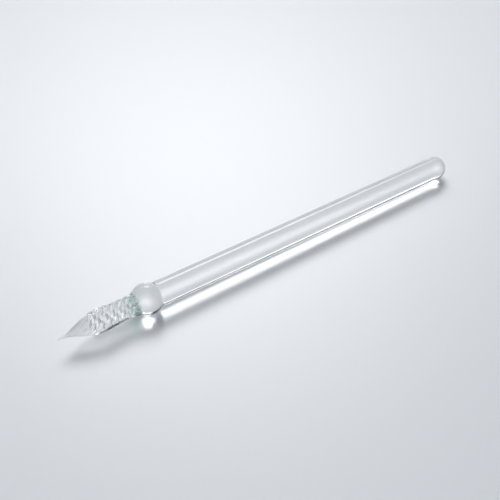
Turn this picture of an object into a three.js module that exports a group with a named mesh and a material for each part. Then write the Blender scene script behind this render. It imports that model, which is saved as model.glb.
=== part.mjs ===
// Glass dip pen, millimetres, +Z up.
// The pen lies along X on the plane z = 0: writing point towards -X, round end towards +X.
// Each body is drawn with the pen's axis along its own +Y, point at y = 0, and the pen group
// then lays them all down together.
import * as THREE from 'three';
import { mergeVertices } from 'three/addons/utils/BufferGeometryUtils.js';

// Driving dimensions
const shaftRadius = 4.25;
const shaftReach = 128.35;        // centre of the ball to the round end of the shaft
const ballRadius = 5.5;
const nibReach = 31.7;            // writing point to the centre of the ball

const creaseDepth = 0.15;         // how far the shaft draws in where it meets the ball
const shoulderLength = 0.8;       // length of the rounding from that crease to full width

// Nib: radii over the ribs, and distances from the writing point
const beadRadius = 0.42;          // fire-polished writing point
const needleRadius = 0.32;        // the fine stretch behind the bead
const needleLength = 2.3;
const coneSteer = new THREE.Vector2(9.3, 2.75);   // steers the outline along a straight cone
const bellyEase = 3.5;            // length over which the outline turns level before the belly
const bellyRadius = 4.1;
const bellyFromPoint = 15;
const waistRadius = 3.6;
const rootRadius = 4.05;          // where the nib flares out on to the ball
const flareLength = 3.8;          // from the waist to that root

// Shares of a stretch of the outline over which it leaves one size and nears the next
const leaveBelly = 0.2;
const nearWaist = 0.45;
const leaveWaist = 0.4;
const nearRoot = 0.2;
const flareBeforeRoot = 0.3;      // share of the flare's rise that comes before that stretch

const ribCount = 10;
const ribsFromPoint = 5;          // the ribs rise out of the cone here
const ribDepthAtPoint = 0.05;     // depth of the grooves, as a share of the nib's radius
const ribDepthFull = 0.2;
const ribsFullFromPoint = 14;
const turnLength = 26.5;          // length of one turn of the full twist, left-handed
const twistFullFromPoint = 15;    // the twist dies away from here to the point

// Clearances between pieces that the finished pen has fused
const seatGap = 0.1;              // shaft and nib to the ball
const ribGap = 0.03;              // ribs to the core and to each other

// Fineness
const roundSegments = 24;
const ballRings = 16;
const seatSteps = 6;
const endSteps = 8;
const nibStations = 40;
const ribArcSteps = 4;

const ballY = nibReach;
const seatRadius = ballRadius + seatGap;
const creaseRadius = shaftRadius - creaseDepth;
const facetPhase = Math.PI / roundSegments;   // turns a flat facet, not an edge, to the table

// Distance from the ball's centre, along the axis, of the seat surface at a given radius
function seatOffset(radius) {
  return Math.sqrt(seatRadius ** 2 - radius ** 2);
}

function glass(color, roughness) {
  return new THREE.MeshStandardMaterial({
    color,
    roughness,
    metalness: 0,
    transparent: true,
    opacity: 0.35,
  });
}

const clearGlass = glass(0xe8eeef, 0.02);
const ballGlass = glass(0xe2eaea, 0.02);
const nibGlass = glass(0xd5e3dc, 0.05);

function named(name, geometry, material) {
  const mesh = new THREE.Mesh(geometry, material);
  mesh.name = name;
  return mesh;
}

// A body turned about the pen's axis from a profile that starts and ends on the axis
function turned(profile) {
  return new THREE.LatheGeometry(profile, roundSegments, facetPhase);
}

// Points of an arc about (0, centreY), from one angle to another, 0 being square to the axis
function arcPoints(centreY, radius, fromAngle, toAngle, steps) {
  const points = [];
  for (let i = 0; i <= steps; i += 1) {
    const angle = THREE.MathUtils.lerp(fromAngle, toAngle, i / steps);
    const x = Math.max(0, radius * Math.cos(angle));
    points.push(new THREE.Vector2(x, centreY + radius * Math.sin(angle)));
  }
  return points;
}

function makeBall() {
  const profile = arcPoints(ballY, ballRadius, -Math.PI / 2, Math.PI / 2, ballRings);
  return named('collar_ball', turned(profile), ballGlass);
}

// The shaft: a hollow seat on the ball, a rounded shoulder, a straight rod and a round end
function makeShaft() {
  const creaseAngle = Math.acos(creaseRadius / seatRadius);
  const creaseY = ballY + seatOffset(creaseRadius);
  const domeY = ballY + shaftReach - shaftRadius;
  const seat = arcPoints(ballY, seatRadius, Math.PI / 2, creaseAngle, seatSteps);
  const shoulder = [];
  for (let i = 1; i <= seatSteps; i += 1) {
    const angle = (Math.PI / 2) * (i / seatSteps);
    const x = creaseRadius + creaseDepth * Math.sin(angle);
    shoulder.push(new THREE.Vector2(x, creaseY + shoulderLength * (1 - Math.cos(angle))));
  }
  const roundEnd = arcPoints(domeY, shaftRadius, 0, Math.PI / 2, endSteps);
  return named('shaft', turned([...seat, ...shoulder, ...roundEnd]), clearGlass);
}

// Outline of the nib over its ribs: a cone, a full belly, an easy waist, and a flared root
function nibOutline() {
  const rootFromPoint = nibReach - seatOffset(rootRadius);
  const waistFromPoint = rootFromPoint - flareLength;
  const waistLength = waistFromPoint - bellyFromPoint;
  const flareStart = THREE.MathUtils.lerp(waistRadius, rootRadius, flareBeforeRoot);
  const outline = new THREE.Path();
  outline.moveTo(needleLength, needleRadius);
  outline.bezierCurveTo(
    coneSteer.x, coneSteer.y,
    bellyFromPoint - bellyEase, bellyRadius,
    bellyFromPoint, bellyRadius,
  );
  outline.bezierCurveTo(
    bellyFromPoint + leaveBelly * waistLength, bellyRadius,
    waistFromPoint - nearWaist * waistLength, waistRadius,
    waistFromPoint, waistRadius,
  );
  outline.bezierCurveTo(
    waistFromPoint + leaveWaist * flareLength, waistRadius,
    rootFromPoint - nearRoot * flareLength, flareStart,
    rootFromPoint, rootRadius,
  );
  return outline;
}

// Stations from the needle to the ball: share of the way, radius over the ribs, radius in the
// grooves, and the twist so far
function nibStationList() {
  const points = nibOutline().getSpacedPoints(nibStations);
  const first = points[0].x;
  const length = points[nibStations].x - first;
  let twist = 0;
  return points.map((point, i) => {
    const fromPoint = point.x;
    if (i > 0) {
      const rate = THREE.MathUtils.smoothstep(fromPoint, 0, twistFullFromPoint) / turnLength;
      twist += 2 * Math.PI * rate * (fromPoint - points[i - 1].x);
    }
    const rise = THREE.MathUtils.smoothstep(fromPoint, needleLength, ribsFullFromPoint);
    const depth = THREE.MathUtils.lerp(ribDepthAtPoint, ribDepthFull, rise);
    const crest = point.y;
    const groove = crest * (1 - depth);
    return { fromPoint, share: (fromPoint - first) / length, crest, groove, twist };
  });
}

const stations = nibStationList();
const firstRibStation = stations.findIndex((station) => station.fromPoint >= ribsFromPoint);

// A point of the nib at a station; the share runs to the ball's seat at that point's radius,
// so that the nib's end is hollowed to fit the ball. Falling angles make the twist left-handed.
function nibPoint(station, radius, angle) {
  const rootY = ballY - seatOffset(radius);
  const y = THREE.MathUtils.lerp(needleLength, rootY, station.share);
  const turn = angle - station.twist;
  return new THREE.Vector3(radius * Math.sin(turn), y, radius * Math.cos(turn));
}

// A closed body through rings of equally many points; an end may be a single point instead
function bodyThroughRings(rings) {
  const positions = [];
  const triangle = (...corners) => {
    corners.forEach((corner) => positions.push(corner.x, corner.y, corner.z));
  };
  for (let j = 1; j < rings.length; j += 1) {
    joinRings(rings[j - 1], rings[j], triangle);
  }
  closeEnd(rings[0], triangle);
  closeEnd([...rings[rings.length - 1]].reverse(), triangle);
  const geometry = new THREE.BufferGeometry();
  geometry.setAttribute('position', new THREE.Float32BufferAttribute(positions, 3));
  return facingOut(mergeVertices(geometry));
}

// The faces between two rings, either of which may be a single point
function joinRings(here, there, triangle) {
  const count = Math.max(here.length, there.length);
  for (let i = 0; i < count; i += 1) {
    const next = (i + 1) % count;
    if (here.length === 1) {
      triangle(here[0], there[i], there[next]);
    } else if (there.length === 1) {
      triangle(here[i], there[0], here[next]);
    } else {
      triangle(here[i], there[i], here[next]);
      triangle(here[next], there[i], there[next]);
    }
  }
}

// A fan over an end ring; a single point needs none
function closeEnd(ring, triangle) {
  for (let i = 1; i < ring.length - 1; i += 1) {
    triangle(ring[0], ring[i], ring[i + 1]);
  }
}

// Turns every face over when the body is inside out, so that all faces point outwards
function facingOut(geometry) {
  const position = geometry.attributes.position;
  const index = geometry.index.array;
  const corner = [new THREE.Vector3(), new THREE.Vector3(), new THREE.Vector3()];
  let volume = 0;
  for (let i = 0; i < index.length; i += 3) {
    corner.forEach((point, k) => point.fromBufferAttribute(position, index[i + k]));
    volume += corner[0].dot(corner[1].cross(corner[2]));
  }
  if (volume < 0) {
    for (let i = 0; i < index.length; i += 3) {
      [index[i], index[i + 1]] = [index[i + 1], index[i]];
    }
  }
  geometry.computeVertexNormals();
  return geometry;
}

// One ring of the core: a polygon with a corner in each groove
function coreRing(station, radius) {
  const ring = [];
  for (let i = 0; i < ribCount; i += 1) {
    ring.push(nibPoint(station, radius, (2 * Math.PI * i) / ribCount));
  }
  return ring;
}

// The core cane: the round bead at the point, the plain cone, the twisted cane under the ribs,
// and a hollow seat on the ball
function makeCore() {
  const root = stations[nibStations];
  const needle = stations[0];
  const rings = [[new THREE.Vector3(0, 0, 0)]];
  const neckAngle = Math.acos(needleRadius / beadRadius);
  const bead = arcPoints(beadRadius, beadRadius, -Math.PI / 2, neckAngle, endSteps);
  bead.slice(1).forEach((point) => {
    const ring = coreRing(needle, point.x);
    ring.forEach((corner) => corner.setY(point.y));
    rings.push(ring);
  });
  stations.forEach((station, i) => {
    if (i <= firstRibStation) {
      rings.push(coreRing(station, station.crest));
    }
    if (i >= firstRibStation) {
      rings.push(coreRing(station, station.groove));
    }
  });
  for (let i = seatSteps - 1; i > 0; i -= 1) {
    rings.push(coreRing(root, (root.groove * i) / seatSteps));
  }
  rings.push([nibPoint(root, 0, 0)]);
  return named('nib_core', bodyThroughRings(rings), nibGlass);
}

// One rib cane: flat against the core, round outside, and twisted with the core
function makeRib(number) {
  const middle = (2 * Math.PI * (number - 0.5)) / ribCount;
  const rings = stations.slice(firstRibStation).map((station, k) => {
    const inner = station.groove + ribGap;
    const halfWidth = Math.PI / ribCount - ribGap / inner;
    const endClearance = k === 0 ? ribGap : 0;
    const ring = [];
    for (let i = 0; i <= ribArcSteps; i += 1) {
      const t = (Math.PI * i) / ribArcSteps;
      const radius = inner + (station.crest - inner) * Math.sin(t);
      const corner = nibPoint(station, radius, middle + halfWidth * Math.cos(t));
      corner.y += endClearance;
      ring.push(corner);
    }
    return ring;
  });
  const name = `nib_rib_${String(number).padStart(2, '0')}`;
  return named(name, bodyThroughRings(rings), nibGlass);
}

// The pen lies on the ball and on its round end, so its axis falls slightly towards that end
function layDown(pen) {
  const facetShare = Math.cos(facetPhase);
  const restSpan = shaftReach - shaftRadius;
  const tilt = Math.asin(((ballRadius - shaftRadius) * facetShare) / restSpan);
  pen.rotation.set(0, tilt, -Math.PI / 2);
  const box = new THREE.Box3().setFromObject(pen, true);
  const centre = box.getCenter(new THREE.Vector3());
  pen.position.set(-centre.x, -centre.y, -box.min.z);
  pen.updateMatrixWorld(true);
}

const pen = new THREE.Group();
pen.add(makeShaft(), makeBall(), makeCore());
for (let number = 1; number <= ribCount; number += 1) {
  pen.add(makeRib(number));
}
layDown(pen);

export default pen;
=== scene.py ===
"""Looks for a clear glass dip pen lying on a pale table: fine glass meshes around the CAD frame."""
import math

import bpy
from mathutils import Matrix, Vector


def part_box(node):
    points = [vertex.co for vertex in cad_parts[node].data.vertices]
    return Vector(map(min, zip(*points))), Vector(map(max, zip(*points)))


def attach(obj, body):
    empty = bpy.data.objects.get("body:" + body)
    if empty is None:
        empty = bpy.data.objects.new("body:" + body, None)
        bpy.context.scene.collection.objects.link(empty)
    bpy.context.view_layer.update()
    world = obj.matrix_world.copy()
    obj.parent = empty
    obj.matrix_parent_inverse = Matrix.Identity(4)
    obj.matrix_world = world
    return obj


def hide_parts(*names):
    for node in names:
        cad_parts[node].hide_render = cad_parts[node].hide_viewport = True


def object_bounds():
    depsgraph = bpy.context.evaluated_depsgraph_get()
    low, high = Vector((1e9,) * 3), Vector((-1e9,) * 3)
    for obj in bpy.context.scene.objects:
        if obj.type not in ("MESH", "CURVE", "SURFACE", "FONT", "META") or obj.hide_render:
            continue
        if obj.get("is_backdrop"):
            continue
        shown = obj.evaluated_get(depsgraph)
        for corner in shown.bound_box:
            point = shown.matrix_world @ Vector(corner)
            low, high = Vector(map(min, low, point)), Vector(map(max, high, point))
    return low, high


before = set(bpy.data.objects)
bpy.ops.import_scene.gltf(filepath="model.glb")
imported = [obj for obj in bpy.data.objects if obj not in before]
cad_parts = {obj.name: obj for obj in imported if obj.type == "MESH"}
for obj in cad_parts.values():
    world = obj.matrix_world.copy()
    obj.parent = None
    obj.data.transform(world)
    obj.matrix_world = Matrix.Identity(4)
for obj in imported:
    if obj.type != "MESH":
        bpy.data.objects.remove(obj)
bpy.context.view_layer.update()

MM = 0.001

# Camera, in the photograph's viewing direction
CAMERA_AZIMUTH = math.radians(-34.3)
CAMERA_ELEVATION = math.radians(42.9)
CAMERA_LENS = 72.0
SENSOR_WIDTH = 36.0
NEAREST_SEEN = 0.01
BALL_IN_VIEW = (-33.39 * MM, -15.9 * MM, 323.85 * MM)   # ball's centre: right, up, away

# Nib: radii over the ribs, at distances from the writing point along the axis
BEAD_RADIUS = 0.42 * MM
BEAD_TURN = 130                   # degrees round the bead from the point, to where the needle starts
NEEDLE_LENGTH = 2.3 * MM
NEEDLE_RADIUS = 0.32 * MM
CONE_STEER = (9.3 * MM, 2.75 * MM)   # the handles of the curve from needle to belly: the first
BELLY_STEER = 11.5 * MM              # one's distance and radius, and the second one's distance
BELLY_FROM_POINT = 15.0 * MM
BELLY_RADIUS = 4.1 * MM
WAIST_FROM_POINT = 24.0 * MM
WAIST_RADIUS = 3.6 * MM
ROOT_RADIUS = 4.05 * MM
# How far from the curves' ends the other handles are
AFTER_BELLY = 1.8 * MM
BEFORE_WAIST = 4 * MM
AFTER_WAIST = 1.5 * MM
BEFORE_ROOT = 0.8 * MM
FLARE_BEFORE_ROOT = 0.15 * MM
# Ribs
RIB_DEPTH = 0.22                  # share of the radius
RIBS_FROM_POINT = 4.5 * MM
RIBS_FULL_FROM_POINT = 12.0 * MM
RIB_FLATNESS = 3                  # 2 is a round crown; more is a flatter one with narrower grooves
TURN_LENGTH = 26.5 * MM           # length of one turn of the full twist
TWIST_FULL_FROM_POINT = 15.0 * MM

# Shaft, where it meets the ball
CREASE_DEPTH = 0.15 * MM
SHOULDER_LENGTH = 0.8 * MM

# Sides and bands of faces
CAD_SIDES = 24                    # the CAD's round bodies have this many sides
PER_RIB = 16                      # sides of each rib
WELD_BANDS = 8
BEAD_BANDS = 10
NIB_BANDS = 90                    # from needle to belly, and again from belly to waist
BALL_BANDS = 64
SHOULDER_BANDS = 8
ROD_BANDS = 40
DOME_BANDS = 20

# Glass
GLASS_IOR = 1.52
CLEAR = (0.975, 0.985, 0.985)
NIB_CLEAR = (0.985, 0.992, 0.99)
NIB_GREEN = (0.4, 0.72, 0.6)      # the glass is deepest in colour where the nib joins the ball
GREEN_LENGTH = 2.0 * MM
CONE_ROUGHNESS = 0.3
CONE_CLEARS = (9 * MM, 14 * MM)   # from the point: the roughness fades away between these
STREAK_SCALE = (25, 700, 700)     # per metre: the faint lines that drawing the glass out leaves
STREAK_HEIGHT = 0.005 * MM
STREAK_DETAIL = 2.0
STREAK_WHITENESS = 0.3

# Floor
FLOOR_SIZE = 3.0                  # from its middle to each edge
FLOOR_COLOUR = (0.775, 0.80, 0.835)
FLOOR_ROUGHNESS = 0.32
FLOOR_GLOSS = 1.0

# Lights lie beyond the pen; "left" is as the camera sees it
KEY_LEFT = math.radians(4)
KEY_ELEVATION = math.radians(52)
KEY_DISTANCE = 1.2
KEY_WIDTH = math.radians(32)
KEY_HEIGHT = math.radians(17)
KEY_POWER = 4.2
KEY_SIZES = (0.7, 1.0, 1.3)       # shares of its width and height
GLOWS = (
    # degrees to the left, elevation, half width and half height on the unit sphere, strength
    (4, 36, 0.7, 0.09, 6.0),
    (4, 42, 0.3, 0.22, 7.0),
    (-10, 0, 0.9, 0.12, 4.0),
)
CARD_DISTANCE = 0.5
CARDS = (
    # degrees to the left, elevation, width and height
    (45, 20, 50, 48),
)
WORLD_LEVELS = (
    # height on the unit sphere, brightness
    (0.0, 0.45),
    (0.3, 0.4),
    (0.55, 0.6),
    (0.9, 1.2),
)
WORLD_TINT = (0.93, 0.96, 1.0)
WORLD_STRENGTH = 0.48
BOUNCES = 96                      # light goes round many times inside ribbed glass

# Places from the frame
ball_low, ball_high = (Vector(c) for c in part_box("collar_ball"))
shaft_low, shaft_high = (Vector(c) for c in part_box("shaft"))
core_low = Vector(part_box("nib_core")[0])
rib_count = sum(name.startswith("nib_rib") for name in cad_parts)

flat_share = math.cos(math.pi / CAD_SIDES)
ball_centre = (ball_low + ball_high) / 2
ball_radius = (ball_high.x - ball_low.x) / 2
shaft_radius = (shaft_high.y - shaft_low.y) / 2 / flat_share
dome_centre = Vector((
    shaft_high.x - shaft_radius,
    ball_centre.y,
    shaft_low.z + shaft_radius * flat_share,
))
axis = (dome_centre - ball_centre).normalized()
side = Vector((0, -1, 0))
rise = side.cross(axis)
nib_reach = (ball_centre.x - core_low.x) / axis.x
shaft_reach = (dome_centre - ball_centre).length + shaft_radius
crease_radius = shaft_radius - CREASE_DEPTH
crease = math.asin(crease_radius / ball_radius)   # the weld's edge, as an angle at the ball's centre
around = rib_count * PER_RIB


# --- shapes ----------------------------------------------------------------
def on_axis(along, radius, angle):
    """A point at a distance along the pen from the ball's centre, and round its axis."""
    return (
        ball_centre + axis * along
        + side * (radius * math.sin(angle)) + rise * (radius * math.cos(angle))
    )


def round_ring(along, radius, twist=0.0):
    return [on_axis(along, radius, 2 * math.pi * i / around - twist) for i in range(around)]


def make_piece(name, rings, materials, slots, sharp_rings=()):
    """A closed mesh through rings of points; the first and last rings are single points.
    slots gives the material of each band of faces, and sharp_rings the rings with a hard edge."""
    points = []
    starts = []
    for ring in rings:
        starts.append(len(points))
        points.extend(ring)
    faces = []
    face_slots = []
    for band in range(len(rings) - 1):
        a, b = rings[band], rings[band + 1]
        here, there = starts[band], starts[band + 1]
        count = max(len(a), len(b))
        for i in range(count):
            j = (i + 1) % count
            if len(a) == 1:
                face = (here, there + j, there + i)
            elif len(b) == 1:
                face = (here + i, here + j, there)
            else:
                face = (here + i, here + j, there + j, there + i)
            faces.append(face)
            face_slots.append(slots[band])
    mesh = bpy.data.meshes.new(name)
    mesh.from_pydata(points, [], faces)
    for material in materials:
        mesh.materials.append(material)
    mesh.polygons.foreach_set("material_index", face_slots)
    mesh.polygons.foreach_set("use_smooth", [True] * len(faces))
    hard = {v for ring in sharp_rings for v in range(starts[ring], starts[ring] + len(rings[ring]))}
    for edge in mesh.edges:
        if edge.vertices[0] in hard and edge.vertices[1] in hard:
            edge.use_edge_sharp = True
    mesh.validate()
    piece = bpy.data.objects.new(name, mesh)
    bpy.context.collection.objects.link(piece)
    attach(piece, "root")
    return piece


def bezier(p, t):
    a, b, c, d = p
    u = 1 - t
    return u ** 3 * a + 3 * u * u * t * b + 3 * u * t * t * c + t ** 3 * d


def smooth_step(low, high, x):
    t = min(max((x - low) / (high - low), 0), 1)
    return t * t * (3 - 2 * t)


def nib_outline():
    """Distances from the writing point and radii over the ribs, from the needle to the root."""
    root = nib_reach - math.sqrt(ball_radius ** 2 - ROOT_RADIUS ** 2)
    belly, waist = BELLY_FROM_POINT, WAIST_FROM_POINT
    curves = (
        (
            NIB_BANDS,
            (NEEDLE_LENGTH, CONE_STEER[0], BELLY_STEER, belly),
            (NEEDLE_RADIUS, CONE_STEER[1], BELLY_RADIUS, BELLY_RADIUS),
        ),
        (
            NIB_BANDS,
            (belly, belly + AFTER_BELLY, waist - BEFORE_WAIST, waist),
            (BELLY_RADIUS, BELLY_RADIUS, WAIST_RADIUS, WAIST_RADIUS),
        ),
        (
            NIB_BANDS // 2,
            (waist, waist + AFTER_WAIST, root - BEFORE_ROOT, root),
            (WAIST_RADIUS, WAIST_RADIUS, WAIST_RADIUS + FLARE_BEFORE_ROOT, ROOT_RADIUS),
        ),
    )
    outline = []
    for bands, distances, radii in curves:
        for i in range(bands):
            outline.append((bezier(distances, i / bands), bezier(radii, i / bands)))
    outline.append((root, ROOT_RADIUS))
    return outline


def nib_stations():
    """For each ring of the nib: share of the way to the root, radius, twist and rib depth."""
    outline = nib_outline()
    first, last = outline[0][0], outline[-1][0]
    stations = []
    twist = 0.0
    before = first
    for distance, crest in outline:
        twisting = smooth_step(0, TWIST_FULL_FROM_POINT, distance)
        twist += 2 * math.pi / TURN_LENGTH * twisting * (distance - before)
        depth = RIB_DEPTH * smooth_step(RIBS_FROM_POINT, RIBS_FULL_FROM_POINT, distance)
        stations.append(((distance - first) / (last - first), crest, twist, depth))
        before = distance
    return stations


def rib_drop(turn):
    """0 on a rib's crest and 1 in the groove, for an angle counted in ribs."""
    x = 2 * (turn - math.floor(turn)) - 1
    return abs(x) ** RIB_FLATNESS


def nib_radius(station, turn):
    _, crest, _, depth = station
    return crest * (1 - depth * rib_drop(turn))


stations = nib_stations()
root_station = stations[-1]
root_twist = root_station[2]


def nib_ring(station, scale=1.0):
    share, _, twist, _ = station
    ring = []
    for i in range(around):
        radius = nib_radius(station, i / PER_RIB) * scale
        angle = 2 * math.pi * i / around - twist
        root = nib_reach - math.sqrt(ball_radius ** 2 - radius ** 2)
        distance = NEEDLE_LENGTH + (root - NEEDLE_LENGTH) * share
        ring.append(on_axis(distance - nib_reach, radius, angle))
    return ring


# --- pieces ----------------------------------------------------------------
def make_nib(material, weld):
    rings = [[on_axis(-nib_reach, 0, 0)]]
    for k in range(1, BEAD_BANDS + 1):
        a = math.radians(-90 + BEAD_TURN * k / BEAD_BANDS)
        rings.append(round_ring(BEAD_RADIUS * (1 + math.sin(a)) - nib_reach, BEAD_RADIUS * math.cos(a)))
    for station in stations:
        rings.append(nib_ring(station))
    side_bands = len(rings) - 1
    for k in range(WELD_BANDS - 1, 0, -1):
        rings.append(nib_ring(root_station, k / WELD_BANDS))
    rings.append([on_axis(-ball_radius, 0, 0)])
    slots = [0] * side_bands + [1] * WELD_BANDS
    piece = make_piece("nib_glass", rings, [material, weld], slots, [side_bands])
    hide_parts("nib_core", *(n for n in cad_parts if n.startswith("nib_rib")))


def ball_ring(polars):
    """A ring on the ball, from the angle of each of its points from the nib's end of the axis."""
    ring = []
    for i, polar in enumerate(polars):
        angle = 2 * math.pi * i / around - root_twist
        ring.append(on_axis(-ball_radius * math.cos(polar), ball_radius * math.sin(polar), angle))
    return ring


def make_ball(material, weld):
    """A sphere whose faces are welds inside the nib's ribbed root and inside the shaft's crease."""
    root_radii = [nib_radius(root_station, i / PER_RIB) for i in range(around)]
    root_polars = [math.asin(radius / ball_radius) for radius in root_radii]
    rings = [[on_axis(-ball_radius, 0, 0)]]
    for k in range(1, WELD_BANDS + 1):
        rings.append(ball_ring(math.asin(r * k / WELD_BANDS / ball_radius) for r in root_radii))
    for k in range(1, BALL_BANDS + 1):
        rings.append(ball_ring(a + (math.pi - crease - a) * k / BALL_BANDS for a in root_polars))
    for k in range(1, WELD_BANDS):
        rings.append(ball_ring([math.pi - crease + crease * k / WELD_BANDS] * around))
    rings.append([on_axis(ball_radius, 0, 0)])
    slots = [1] * WELD_BANDS + [0] * BALL_BANDS + [1] * WELD_BANDS
    piece = make_piece("ball_glass", rings, [material, weld], slots)
    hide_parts("collar_ball")


def shaft_profile():
    """Distances along the axis and radii: the weld, the shoulder, the rod and the round end."""
    profile = []
    for k in range(1, WELD_BANDS + 1):
        a = crease * k / WELD_BANDS
        profile.append((ball_radius * math.cos(a), ball_radius * math.sin(a)))
    start = profile[-1][0]
    for k in range(1, SHOULDER_BANDS + 1):
        a = math.pi / 2 * k / SHOULDER_BANDS
        along = start + SHOULDER_LENGTH * (1 - math.cos(a))
        profile.append((along, crease_radius + CREASE_DEPTH * math.sin(a)))
    begin = profile[-1][0]
    end = shaft_reach - shaft_radius
    for k in range(1, ROD_BANDS + 1):
        profile.append((begin + (end - begin) * k / ROD_BANDS, shaft_radius))
    for k in range(1, DOME_BANDS):
        a = math.pi / 2 * k / DOME_BANDS
        profile.append((end + shaft_radius * math.sin(a), shaft_radius * math.cos(a)))
    return profile


def make_shaft(material, weld):
    rings = [[on_axis(ball_radius, 0, 0)]]
    for along, radius in shaft_profile():
        rings.append(round_ring(along, radius, root_twist))
    rings.append([on_axis(shaft_reach, 0, 0)])
    slots = [1] * WELD_BANDS + [0] * (len(rings) - 1 - WELD_BANDS)
    piece = make_piece("shaft_glass", rings, [material, weld], slots, [WELD_BANDS])
    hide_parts("shaft")


# --- materials -------------------------------------------------------------
def new_material(name):
    material = bpy.data.materials.new(name)
    material.use_nodes = True
    tree = material.node_tree
    return material, tree, tree.nodes["Principled BSDF"]


def drawn_surface(tree, coordinates):
    """Faint long streaks, as in glass that was drawn out along X, and the normal they give."""
    stretch = tree.nodes.new("ShaderNodeMapping")
    stretch.inputs["Scale"].default_value = STREAK_SCALE
    streaks = tree.nodes.new("ShaderNodeTexNoise")
    streaks.inputs["Scale"].default_value = 1.0
    streaks.inputs["Detail"].default_value = STREAK_DETAIL
    bump = tree.nodes.new("ShaderNodeBump")
    bump.inputs["Strength"].default_value = 1.0
    bump.inputs["Distance"].default_value = STREAK_HEIGHT
    tree.links.new(coordinates, stretch.inputs["Vector"])
    tree.links.new(stretch.outputs["Vector"], streaks.inputs["Vector"])
    tree.links.new(streaks.outputs["Fac"], bump.inputs["Height"])
    return streaks.outputs["Fac"], bump.outputs["Normal"]


def fade(tree, value, start, end, low, high, interpolation="SMOOTHSTEP"):
    """A number that goes from low to high while value goes from start to end."""
    step = tree.nodes.new("ShaderNodeMapRange")
    step.interpolation_type = interpolation
    step.inputs["From Min"].default_value = start
    step.inputs["From Max"].default_value = end
    step.inputs["To Min"].default_value = low
    step.inputs["To Max"].default_value = high
    tree.links.new(value, step.inputs["Value"])
    return step.outputs["Result"]


def new_mix(tree, share):
    """A mix of two colours, and the sockets of its first and second colour and its result."""
    mix = tree.nodes.new("ShaderNodeMix")
    mix.data_type = "RGBA"
    tree.links.new(share, mix.inputs[0])
    return mix.inputs[6], mix.inputs[7], mix.outputs[2]


def glass(name, clear, deep=None, rough_cone=False):
    """Clear glass; deep is its colour beside the ball, on the nib's side."""
    material, tree, shader = new_material(name)
    shader.inputs["Roughness"].default_value = 0.0
    shader.inputs["IOR"].default_value = GLASS_IOR
    shader.inputs["Transmission Weight"].default_value = 1.0
    coordinates = tree.nodes.new("ShaderNodeTexCoord").outputs["Object"]
    streaks, normal = drawn_surface(tree, coordinates)
    tree.links.new(normal, shader.inputs["Normal"])
    place = tree.nodes.new("ShaderNodeSeparateXYZ")
    tree.links.new(coordinates, place.inputs[0])
    along = place.outputs["X"]
    if rough_cone:
        start, end = (ball_centre.x - nib_reach + distance for distance in CONE_CLEARS)
        roughness = fade(tree, along, start, end, CONE_ROUGHNESS, 0.0)
        tree.links.new(roughness, shader.inputs["Roughness"])
    whiteness = fade(tree, streaks, 0.0, 1.0, 0.0, STREAK_WHITENESS, "LINEAR")
    plain, white, uneven = new_mix(tree, whiteness)
    plain.default_value = (*clear, 1)
    white.default_value = (1, 1, 1, 1)
    tree.links.new(uneven, shader.inputs["Base Color"])
    if deep:
        root = ball_centre.x - ball_radius
        near = fade(tree, along, root - GREEN_LENGTH, root + GREEN_LENGTH, 0.0, 1.0)
        away, beside, colour = new_mix(tree, near)
        away.default_value = (*clear, 1)
        beside.default_value = (*deep, 1)
        tree.links.new(colour, plain)
    return material


def melted():
    """Where two pieces have melted together there is no surface, so light goes straight on."""
    material, _, shader = new_material("weld")
    shader.inputs["Alpha"].default_value = 0.0
    return material


# --- stage -----------------------------------------------------------------
def set_camera():
    back = Vector((
        math.sin(CAMERA_AZIMUTH) * math.cos(CAMERA_ELEVATION),
        -math.cos(CAMERA_AZIMUTH) * math.cos(CAMERA_ELEVATION),
        math.sin(CAMERA_ELEVATION),
    ))
    right = Vector((math.cos(CAMERA_AZIMUTH), math.sin(CAMERA_AZIMUTH), 0))
    up = back.cross(right)
    across, above, away = BALL_IN_VIEW
    data = bpy.data.cameras.new("camera")
    data.lens = CAMERA_LENS
    data.sensor_width = SENSOR_WIDTH
    data.clip_start = NEAREST_SEEN
    camera = bpy.data.objects.new("camera", data)
    camera.location = ball_centre - right * across - up * above + back * away
    camera.rotation_euler = (math.pi / 2 - CAMERA_ELEVATION, 0, CAMERA_AZIMUTH)
    bpy.context.collection.objects.link(camera)
    bpy.context.scene.camera = camera


def make_sheet(name, x, y, z, colour, roughness, gloss):
    """A flat rectangle from -x to x and from -y to y at height z, of one plain material."""
    mesh = bpy.data.meshes.new(name)
    mesh.from_pydata([(-x, -y, z), (x, -y, z), (x, y, z), (-x, y, z)], [], [(0, 1, 2, 3)])
    material, _, shader = new_material(name)
    shader.inputs["Base Color"].default_value = (*colour, 1)
    shader.inputs["Roughness"].default_value = roughness
    shader.inputs["Specular IOR Level"].default_value = gloss
    mesh.materials.append(material)
    sheet = bpy.data.objects.new(name, mesh)
    bpy.context.collection.objects.link(sheet)
    return sheet


def make_floor(height):
    size = FLOOR_SIZE
    floor = make_sheet("floor", size, size, height, FLOOR_COLOUR, FLOOR_ROUGHNESS, FLOOR_GLOSS)
    floor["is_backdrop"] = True


def beyond(left, elevation):
    """The direction past the pen, this far to the camera's left and above the table."""
    azimuth = CAMERA_AZIMUTH + left
    return Vector((
        -math.sin(azimuth) * math.cos(elevation),
        math.cos(azimuth) * math.cos(elevation),
        math.sin(elevation),
    ))


def facing(direction):
    """The rotation of something that lies in this direction and faces the pen."""
    return direction.to_track_quat("Z", "Y").to_euler()


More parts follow.
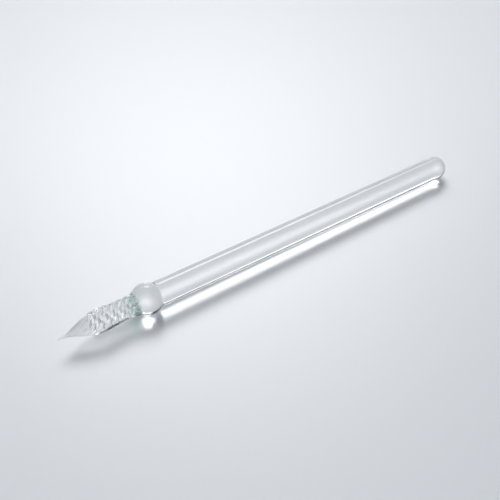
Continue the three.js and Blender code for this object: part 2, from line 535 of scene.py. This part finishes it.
def make_key():
    """A soft-edged oval light that reflections don't show: ovals of several sizes about one centre."""
    direction = beyond(KEY_LEFT, KEY_ELEVATION)
    for share in KEY_SIZES:
        data = bpy.data.lights.new("key", "AREA")
        data.shape = "ELLIPSE"
        data.size = 2 * KEY_DISTANCE * math.tan(KEY_WIDTH / 2) * share
        data.size_y = 2 * KEY_DISTANCE * math.tan(KEY_HEIGHT / 2) * share
        data.energy = KEY_POWER / len(KEY_SIZES)
        key = bpy.data.objects.new("key", data)
        key.location = ball_centre + direction * KEY_DISTANCE
        key.rotation_euler = facing(direction)
        key.visible_glossy = False
        bpy.context.collection.objects.link(key)


def make_card(left, elevation, width, height):
    """A black card by the pen, seen only through the glass, where it draws dark edges."""
    direction = beyond(math.radians(left), math.radians(elevation))
    x, y = (CARD_DISTANCE * math.tan(math.radians(size / 2)) for size in (width, height))
    card = make_sheet("card", x, y, 0, (0, 0, 0), 1.0, 0.0)
    card.location = ball_centre + direction * CARD_DISTANCE
    card.rotation_euler = facing(direction)
    card.visible_camera = False
    card.visible_diffuse = False
    card.visible_glossy = False
    card.visible_shadow = False
    card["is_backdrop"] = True


def glow(tree, coordinates, left, elevation, width, height, strength):
    """A soft oval light on the world's sphere."""
    direction = beyond(math.radians(left), math.radians(elevation))
    place = tree.nodes.new("ShaderNodeMapping")
    place.vector_type = "TEXTURE"
    place.inputs["Location"].default_value = direction
    place.inputs["Rotation"].default_value = facing(direction)
    place.inputs["Scale"].default_value = (width, height, 1)
    falloff = tree.nodes.new("ShaderNodeTexGradient")
    falloff.gradient_type = "SPHERICAL"
    level = tree.nodes.new("ShaderNodeMath")
    level.operation = "MULTIPLY"
    level.inputs[1].default_value = strength
    light = tree.nodes.new("ShaderNodeBackground")
    light.inputs["Color"].default_value = (1, 1, 1, 1)
    tree.links.new(coordinates, place.inputs["Vector"])
    tree.links.new(place.outputs["Vector"], falloff.inputs["Vector"])
    tree.links.new(falloff.outputs["Fac"], level.inputs[0])
    tree.links.new(level.outputs[0], light.inputs["Strength"])
    return light.outputs[0]


def make_world():
    """A soft white room, brightest overhead, with soft lights beyond the pen."""
    world = bpy.data.worlds.new("studio")
    world.use_nodes = True
    tree = world.node_tree
    background = tree.nodes["Background"]
    direction = tree.nodes.new("ShaderNodeTexCoord").outputs["Generated"]
    height = tree.nodes.new("ShaderNodeSeparateXYZ")
    ramp = tree.nodes.new("ShaderNodeValToRGB")
    ramp.color_ramp.interpolation = "EASE"
    while len(ramp.color_ramp.elements) < len(WORLD_LEVELS):
        ramp.color_ramp.elements.new(1.0)
    for element, (position, level) in zip(ramp.color_ramp.elements, WORLD_LEVELS):
        element.position = position
        element.color = (*(level * c for c in WORLD_TINT), 1)
    tree.links.new(direction, height.inputs[0])
    tree.links.new(height.outputs["Z"], ramp.inputs["Fac"])
    tree.links.new(ramp.outputs["Color"], background.inputs["Color"])
    background.inputs["Strength"].default_value = WORLD_STRENGTH
    total = background.outputs[0]
    for settings in GLOWS:
        both = tree.nodes.new("ShaderNodeAddShader")
        tree.links.new(total, both.inputs[0])
        tree.links.new(glow(tree, direction, *settings), both.inputs[1])
        total = both.outputs[0]
    tree.links.new(total, tree.nodes["World Output"].inputs["Surface"])
    bpy.context.scene.world = world


def set_light_paths():
    """Light that the glass focuses, or that goes round inside it, is followed in full."""
    scene = bpy.context.scene
    scene.view_settings.view_transform = "Standard"
    scene.cycles.caustics_reflective = True
    scene.cycles.caustics_refractive = True
    scene.cycles.blur_glossy = 0.0
    scene.cycles.sample_clamp_indirect = 0.0
    scene.cycles.max_bounces = BOUNCES
    scene.cycles.transmission_bounces = BOUNCES
    scene.cycles.transparent_max_bounces = BOUNCES
    scene.cycles.glossy_bounces = BOUNCES


weld = melted()
set_camera()
make_nib(glass("nib_clear", NIB_CLEAR, NIB_GREEN, rough_cone=True), weld)
make_ball(glass("ball_clear", CLEAR), weld)
make_shaft(glass("shaft_clear", CLEAR), weld)
make_floor(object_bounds()[0][2])
make_key()
for card in CARDS:
    make_card(*card)
make_world()
set_light_paths()
